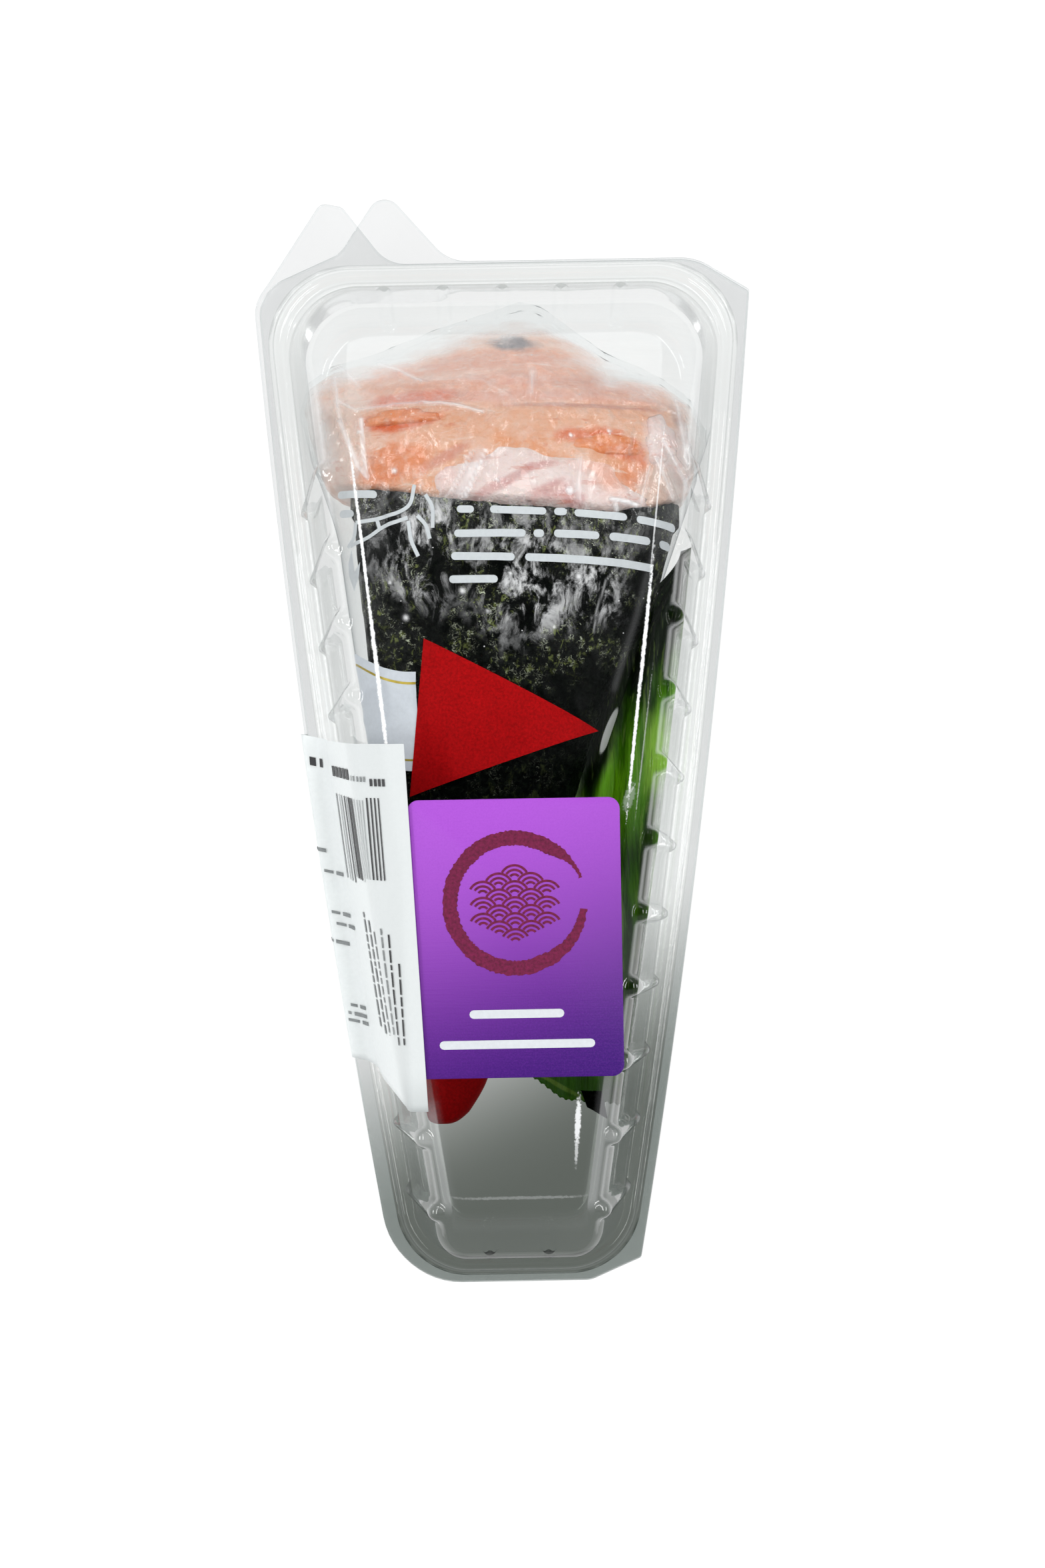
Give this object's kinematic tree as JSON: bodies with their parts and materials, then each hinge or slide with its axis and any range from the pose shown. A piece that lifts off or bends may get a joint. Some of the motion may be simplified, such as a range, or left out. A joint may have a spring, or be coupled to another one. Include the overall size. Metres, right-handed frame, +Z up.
{
  "type": "packed temaki hand roll",
  "caption": "Salmon and cream cheese hand roll with nori and a green leaf, in a clear film sleeve inside a shut clear plastic pack with a paper seal and a purple sticker.",
  "frame": {"origin": "middle of the tray's flat floor, on its underside", "axes": "+Z up, away from the tray's floor; +Y along the pack towards its wide end with the pull tabs; +X towards the folded hinge side"},
  "size_m": [0.1048, 0.2289, 0.0436],
  "materials": {
    "clear_plastic": "clear thermoformed plastic, glossy",
    "film": "thin printed clear film, glossy and creased",
    "sticker": "satin purple film label",
    "paper": "matt white label paper",
    "nori": "pressed dry seaweed, dark green-black with a faint sheen",
    "salmon": "moist chopped salmon, pale orange",
    "salmon_deep": "moist salmon, strong orange",
    "cream_cheese": "soft cream cheese, pinkish white",
    "leaf": "fresh leaf, mid green with fine veins"
  },
  "bodies": {
    "root": {"clamshell": "clear_plastic", "lid_sticker": "sticker", "seal_label": "paper", "wrapper": "film", "nori_cone": "nori", "nori_scrap": "nori", "leaf": "leaf", "cream_cheese": "cream_cheese", "cream_cheese_side": "cream_cheese", "salmon_strip_left": "salmon_deep", "salmon_strip_right": "salmon_deep", "salmon": "salmon"}
  },
  "joints": []
}
